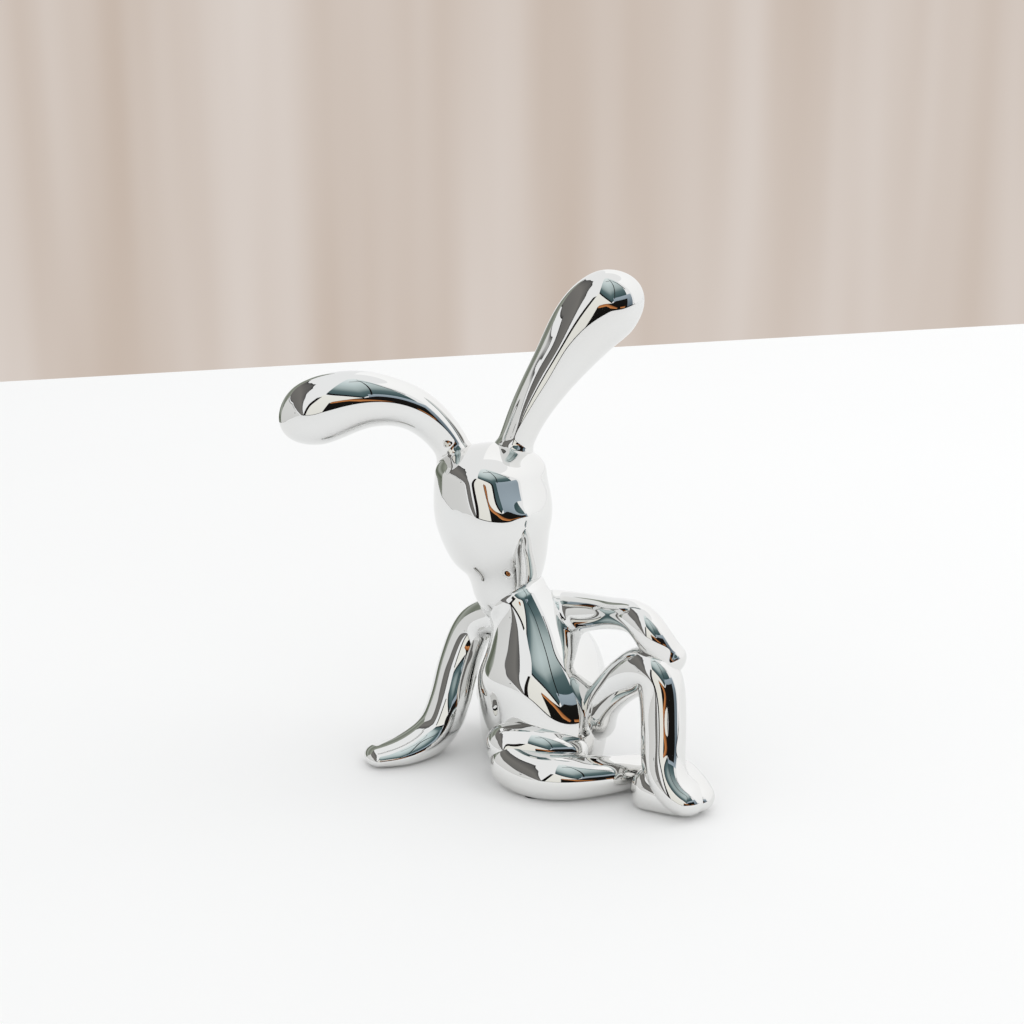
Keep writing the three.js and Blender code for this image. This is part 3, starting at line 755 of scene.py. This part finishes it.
def ramp(nodes, links, factor, stops):
    """A colour ramp over the factor."""
    node = nodes.new("ShaderNodeValToRGB")
    elements = node.color_ramp.elements
    while len(elements) < len(stops):
        elements.new(0.5)
    for element, (place, shade) in zip(elements, stops):
        element.position = place
        element.color = (*shade, 1)
    links.new(factor, node.inputs["Fac"])
    return node.outputs["Color"]


def bumped(nodes, links, shader, height, distance):
    """Bumps the surface by that height over that distance."""
    bump = nodes.new("ShaderNodeBump")
    bump.inputs["Strength"].default_value = 1.0
    bump.inputs["Distance"].default_value = distance
    links.new(height, bump.inputs["Height"])
    links.new(bump.outputs["Normal"], shader.inputs["Normal"])


def plating():
    """Silver plating: a clean mirror with faint handling marks over a slowly waved casting."""
    name = "mirror_plating"
    if name in bpy.data.materials:
        return bpy.data.materials[name]
    finish = settings("finish")
    material, nodes, links, shader = new_material(name)
    shader.inputs["Metallic"].default_value = 1.0
    tint = ramp(nodes, links, noise(nodes, links, scale=28.0),
                [(0.35, finish.silver), (0.75, finish.silver_warm)])
    links.new(tint, shader.inputs["Base Color"])
    marks = ramp(nodes, links, noise(nodes, links, scale=60.0, detail=5.0),
                 [(0.45, (finish.polish,) * 3), (0.8, (finish.handling,) * 3)])
    links.new(marks, shader.inputs["Roughness"])
    waves = noise(nodes, links, scale=1 / finish.ripple_size, detail=1.0)
    bumped(nodes, links, shader, waves, finish.ripple)
    return material


def rubber():
    """Matt rubber with a fine grain."""
    material, nodes, links, shader = new_material("pad_rubber")
    dark = settings("finish").rubber
    grain = noise(nodes, links, scale=900.0, detail=3.0)
    tint = ramp(nodes, links, grain, [(0.3, dark), (0.7, 1.8 * Vector(dark))])
    links.new(tint, shader.inputs["Base Color"])
    shader.inputs["Roughness"].default_value = 0.85
    bumped(nodes, links, shader, grain, distance=0.0001)
    return material


def drawn_steel():
    """Plain drawn steel of the hidden pins."""
    material, nodes, links, shader = new_material("pin_steel")
    light = settings("finish").steel
    grain = noise(nodes, links, scale=1500.0)
    tint = ramp(nodes, links, grain, [(0.3, 0.8 * Vector(light)), (0.7, light)])
    links.new(tint, shader.inputs["Base Color"])
    shader.inputs["Metallic"].default_value = 1.0
    roughness = ramp(nodes, links, grain, [(0.2, (0.3,) * 3), (0.8, (0.42,) * 3)])
    links.new(roughness, shader.inputs["Roughness"])
    return material


# Operators

class BuildTorso(bpy.types.Operator):
    """Builds the torso and its tail"""
    bl_idname = "rabbit.build_torso"
    bl_label = "Torso and tail"

    def execute(self, context):
        plated("torso", torso_form(), ["torso"], surface(head_form()))
        plated("tail", tail_form(), ["tail"], surface(torso_form()))
        return {"FINISHED"}


class BuildHead(bpy.types.Operator):
    """Builds the head with its soft nose"""
    bl_idname = "rabbit.build_head"
    bl_label = "Head"

    def execute(self, context):
        bm, _ = form_mesh(head_form())
        raise_nose(bm)
        finished(bm, "plated_head", ["head"])
        return {"FINISHED"}


class BuildEars(bpy.types.Operator):
    """Builds the drooping right ear and the raised left ear"""
    bl_idname = "rabbit.build_ears"
    bl_label = "Ears"

    def execute(self, context):
        crown = surface(head_form())
        plated("right_ear", right_ear_form(), ["right_ear"], crown)
        plated("left_ear", left_ear_form(), ["left_ear"], crown)
        return {"FINISHED"}


class BuildArms(bpy.types.Operator):
    """Builds the propping right arm and the left arm over the knee"""
    bl_idname = "rabbit.build_arms"
    bl_label = "Arms"

    def execute(self, context):
        shoulders = surface(torso_form())
        plated("right_arm", right_arm_form(), ["right_arm"], shoulders)
        plated("left_arm", left_arm_form(), ["left_arm"], shoulders)
        return {"FINISHED"}


class BuildLegs(bpy.types.Operator):
    """Builds the folded right leg and the raised left leg, with their feet"""
    bl_idname = "rabbit.build_legs"
    bl_label = "Legs"

    def execute(self, context):
        plated("right_thigh", right_thigh_form(), ["right_leg"])
        plated("right_leg", right_leg_form(), ["right_leg"])
        plated("right_foot", right_foot_form(), ["right_leg"])
        plated("left_leg", left_leg_form(), ["left_leg"])
        plated("left_heel", left_heel_form(), ["left_leg"])
        return {"FINISHED"}


class DressFittings(bpy.types.Operator):
    """Gives the hidden steel pins and the non-slip pads their finishes"""
    bl_idname = "rabbit.dress_fittings"
    bl_label = "Pins and pads"

    def execute(self, context):
        finishes = {"_pin": drawn_steel(), "_pad": rubber()}
        for name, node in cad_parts.items():
            for ending, material in finishes.items():
                if name.endswith(ending):
                    node.data.materials.clear()
                    node.data.materials.append(material)
        return {"FINISHED"}


# Stage

Card = namedtuple("Card", "low high distances shades")
RIM = (0.02, 0.02, 0.02)
BLACK = [(0, (0.008, 0.007, 0.006)), (1, (0.012, 0.011, 0.010))]
EMBER = [(0, (0.75, 0.30, 0.10)), (1, (0.25, 0.09, 0.03))]

# A card is a grid bent round a point over the middle of the ornament, and clear of the table
CARD_COLUMNS = 32
CARD_ROWS = 16
CARD_MIDDLE_HEIGHT = 0.1
CARD_LOWEST = 0.002

# What the plating mirrors. Each card has a lower and an upper edge through places given in degrees
# (round from the viewer towards the rabbit's left, above the horizon), then its distances in
# metres from its first end to its last and its shades from the lower edge to the upper one.
CARDS = {
    "grey_screen": Card(
        [(-150, 15), (-110, 26), (-70, 24), (-50, 12), (-32, -3)],
        [(-150, 35), (-120, 58), (-90, 66), (-60, 60), (-40, 40), (-28, -3)],
        [1.3],
        [(0, RIM), (0.05, (0.17, 0.165, 0.158)), (0.6, (0.207, 0.199, 0.188)),
         (0.93, (0.12, 0.118, 0.115)), (1, RIM)]),
    "green_panel": Card(
        [(-160, -22), (-110, -22)], [(-160, 36), (-128, 30), (-110, 26)], [0.46, 0.44],
        [(0, RIM), (0.06, (0.33, 0.35, 0.31)), (0.3, (0.12, 0.14, 0.10)),
         (0.5, (0.40, 0.42, 0.38)), (0.7, (0.20, 0.22, 0.18)), (1, (0.36, 0.38, 0.33))]),
    "low_screen": Card(
        [(-112, -22), (-80, -20), (-55, -12), (-36, -4)],
        [(-112, 25), (-72, 23), (-52, 11), (-36, -3)],
        [0.44, 0.5, 0.8, 1.5],
        [(0, RIM), (0.05, (0.73, 0.73, 0.72)), (0.96, (0.80, 0.80, 0.79)), (1, RIM)]),
    "low_screen_seam": Card(
        [(-112, 9), (-50, 3)], [(-112, 12), (-50, 5)], [0.43, 0.85], BLACK),
    "black_post": Card([(-29, -3), (-24, -3)], [(-19, 34), (-14, 34)], [1.2], BLACK),
    "cream_wall": Card(
        [(-24, -3), (24, -3)], [(-14, 38), (20, 11)], [1.5],
        [(0, (0.90, 0.89, 0.83)), (1, (0.97, 0.96, 0.90))]),
    "dark_doorway": Card(
        [(-2, -3), (56, -3)], [(-2, 14), (20, 11), (30, 15), (56, 14)], [1.35], BLACK),
    "ember": Card(
        [(-1, 12), (10, 8), (18, 2), (30, -1)], [(-1, 15), (11, 12), (22, 6), (34, 0.5)],
        [1.3], EMBER),
    "low_ember": Card([(40, -1), (50, -2)], [(40, 1.5), (52, 0.5)], [1.3], EMBER),
    "blue_panel": Card(
        [(24, -3), (70, -3)], [(24, 22), (66, 22)], [1.4],
        [(0, RIM), (0.06, (0.133, 0.174, 0.21)), (1, (0.38, 0.456, 0.517))]),
    "floor_line": Card([(-30, -3.6), (78, -3.6)], [(-30, -2.6), (78, -2.6)], [1.25], BLACK),
    "teal_window": Card(
        [(-12, 39), (20, 12.5), (30, 21), (56, 22)], [(-14, 86), (54, 86)], [1.45],
        [(0, (0.044, 0.082, 0.089)), (0.2, (0.12, 0.18, 0.188)), (0.36, (0.42, 0.50, 0.50)),
         (0.6, (0.62, 0.72, 0.725)), (1, (0.876, 0.938, 0.938))]),
    "window_bar": Card([(26, 20), (27.5, 20)], [(36, 80), (39, 80)], [1.3], BLACK),
    "window_sill": Card([(-12, 38), (20, 11)], [(-11, 40.5), (21, 13.5)], [1.35], BLACK),
    "window_rail": Card(
        [(5, 71), (40, 71), (50, 59), (58, 35)], [(5, 72.5), (41, 72.5), (52, 60), (60, 35)],
        [1.35], BLACK),
    "bright_wall": Card(
        [(76, -4), (180, -4)], [(60, 60), (180, 60)], [1.5], [(0, (1.05,) * 3), (1, (1.15,) * 3)]),
}


def link_mesh(bm, name, material):
    """The mesh as a stage object with one material."""
    mesh = bpy.data.meshes.new(name)
    bm.to_mesh(mesh)
    bm.free()
    mesh.materials.append(material)
    thing = bpy.data.objects.new(name, mesh)
    bpy.context.scene.collection.objects.link(thing)
    return thing


def glow(nodes, links, shade):
    """Makes the material send out that colour instead of being lit."""
    nodes.remove(nodes["Principled BSDF"])
    light = nodes.new("ShaderNodeEmission")
    links.new(shade, light.inputs["Color"])
    links.new(light.outputs["Emission"], nodes["Material Output"].inputs["Surface"])


def part_way(values, way):
    """The value part of the way along evenly spaced ones."""
    return np.interp(way, np.linspace(0, 1, len(values)), values)


def card(name, facts):
    """A card bent round the ornament, seen only in the plating."""
    bm = bmesh.new()
    bm.loops.layers.uv.new("UVMap")
    bmesh.ops.create_grid(
        bm, x_segments=CARD_COLUMNS, y_segments=CARD_ROWS, size=0.5, calc_uvs=True)
    for vert in bm.verts:
        across, above = vert.co.x + 0.5, vert.co.y + 0.5
        low, high = [np.radians([part_way(column, across) for column in zip(*edge)])
                     for edge in (facts.low, facts.high)]
        round_from_viewer, rise = low + (high - low) * above
        outwards = facing(round_from_viewer) * math.cos(rise) + UP * math.sin(rise)
        vert.co = UP * CARD_MIDDLE_HEIGHT + outwards * part_way(facts.distances, across)
        vert.co.z = max(CARD_LOWEST, vert.co.z)
    material, nodes, links, _ = new_material(name)
    place = nodes.new("ShaderNodeTexCoord")
    split = nodes.new("ShaderNodeSeparateXYZ")
    links.new(place.outputs["UV"], split.inputs["Vector"])
    glow(nodes, links, ramp(nodes, links, split.outputs["Y"], facts.shades))
    panel = link_mesh(bm, name, material)
    panel.visible_camera = False
    panel.visible_diffuse = False
    panel.visible_shadow = False


class BuildStage(bpy.types.Operator):
    """Sets the table, the curtain, the light, the studio cards and the camera"""
    bl_idname = "rabbit.build_stage"
    bl_label = "Stage"

    def execute(self, context):
        stage = settings("stage")
        self.lay_table(stage)
        self.hang_curtain(stage)
        self.light(stage)
        for name, facts in CARDS.items():
            card(name, facts)
        self.place_camera(stage)
        return {"FINISHED"}

    def lay_table(self, stage):
        """A table top whose far edge runs at a slant behind the rabbit."""
        bm = bmesh.new()
        bmesh.ops.create_grid(bm, x_segments=1, y_segments=1, size=stage.table_reach)
        for vert in bm.verts:
            if vert.co.y > 0:
                vert.co.y = stage.table_back + vert.co.x * math.tan(stage.table_skew)
        material, nodes, links, shader = new_material("table_top")
        tint = ramp(nodes, links, noise(nodes, links, scale=3.0),
                    [(0.3, 0.985 * Vector(stage.table)), (0.7, stage.table)])
        links.new(tint, shader.inputs["Base Color"])
        shader.inputs["Roughness"].default_value = 0.9
        shader.inputs["Specular IOR Level"].default_value = 0.1
        link_mesh(bm, "table", material)

    def hang_curtain(self, stage):
        """A flat curtain behind the table, for the camera only, with the shade of soft folds
        painted on it.
        """
        bm = bmesh.new()
        bmesh.ops.create_grid(bm, x_segments=1, y_segments=1, size=stage.table_reach)
        for vert in bm.verts:
            vert.co = Vector((vert.co.x, stage.curtain_back, vert.co.y))
        material, nodes, links, _ = new_material("curtain")
        place = nodes.new("ShaderNodeTexCoord")
        # Painted shade of soft folds: noise stretched upright darkens the flat curtain in bands
        # towards the fold shade colour
        stretch = nodes.new("ShaderNodeMapping")
        stretch.inputs["Scale"].default_value = (1 / stage.fold_width, 1, 0.5)
        folds = nodes.new("ShaderNodeTexNoise")
        folds.inputs["Scale"].default_value = 1.0
        folds.inputs["Detail"].default_value = 2.0
        links.new(place.outputs["Object"], stretch.inputs["Vector"])
        links.new(stretch.outputs["Vector"], folds.inputs["Vector"])
        glow(nodes, links, ramp(nodes, links, folds.outputs["Fac"], [
            (0.3, stage.curtain_fold_shade), (0.7, stage.curtain)]))
        curtain = link_mesh(bm, "curtain", material)
        curtain.visible_diffuse = False
        curtain.visible_glossy = False
        curtain.visible_shadow = False

    def light(self, stage):
        """Pale light from all round, and one round lamp that the plating doesn't mirror."""
        scene = bpy.context.scene
        scene.world = bpy.data.worlds.new("studio")
        scene.world.use_nodes = True
        around = scene.world.node_tree.nodes["Background"]
        around.inputs["Color"].default_value = (*stage.room_light, 1)
        lamp = bpy.data.lights.new("softbox", "AREA")
        lamp.energy = stage.lamp_power
        lamp.shape = "DISK"
        lamp.size = stage.lamp_size
        box = bpy.data.objects.new("softbox", lamp)
        scene.collection.objects.link(box)
        box.location = stage.lamp
        box.rotation_mode = "QUATERNION"
        box.rotation_quaternion = (-stage.lamp).to_track_quat("-Z", "Y")
        box.visible_glossy = False

    def place_camera(self, stage):
        """The camera at the photograph's viewing angle."""
        scene = bpy.context.scene
        lens = bpy.data.cameras.new("camera")
        lens.lens = stage.lens
        camera = bpy.data.objects.new("camera", lens)
        scene.collection.objects.link(camera)
        back = TOWARDS_VIEWER * math.cos(stage.elevation) + UP * math.sin(stage.elevation)
        camera.location = SEAT + stage.target + back * stage.distance
        camera.rotation_mode = "QUATERNION"
        camera.rotation_quaternion = (-back).to_track_quat("-Z", "Y")
        scene.camera = camera
        scene.view_settings.view_transform = "Standard"


BUILDERS = (BuildTorso, BuildHead, BuildEars, BuildArms, BuildLegs, DressFittings, BuildStage)


class RabbitPanel(bpy.types.Panel):
    """Lists what builds the rabbit and its stage, with their sizes and colours"""
    bl_idname = "VIEW3D_PT_rabbit"
    bl_label = "Sitting Rabbit"
    bl_space_type = "VIEW_3D"
    bl_region_type = "UI"
    bl_category = "Rabbit"

    def draw(self, context):
        for builder in BUILDERS:
            self.layout.operator(builder.bl_idname)
        for name, group in GROUPS.items():
            box = self.layout.box()
            box.label(text=group.__doc__)
            for field in group.__annotations__:
                box.prop(getattr(context.scene, name), field)


def register():
    for group in GROUPS.values():
        bpy.utils.register_class(group)
    for name, group in GROUPS.items():
        setattr(bpy.types.Scene, name, PointerProperty(type=group))
    for shown in (*BUILDERS, RabbitPanel):
        bpy.utils.register_class(shown)


def unregister():
    for shown in (RabbitPanel, *reversed(BUILDERS)):
        bpy.utils.unregister_class(shown)
    for name in GROUPS:
        delattr(bpy.types.Scene, name)
    for group in reversed(GROUPS.values()):
        bpy.utils.unregister_class(group)


def main():
    register()
    bpy.ops.rabbit.build_torso()
    bpy.ops.rabbit.build_head()
    bpy.ops.rabbit.build_ears()
    bpy.ops.rabbit.build_arms()
    bpy.ops.rabbit.build_legs()
    bpy.ops.rabbit.dress_fittings()
    bpy.ops.rabbit.build_stage()


if __name__ == "__main__":
    main()
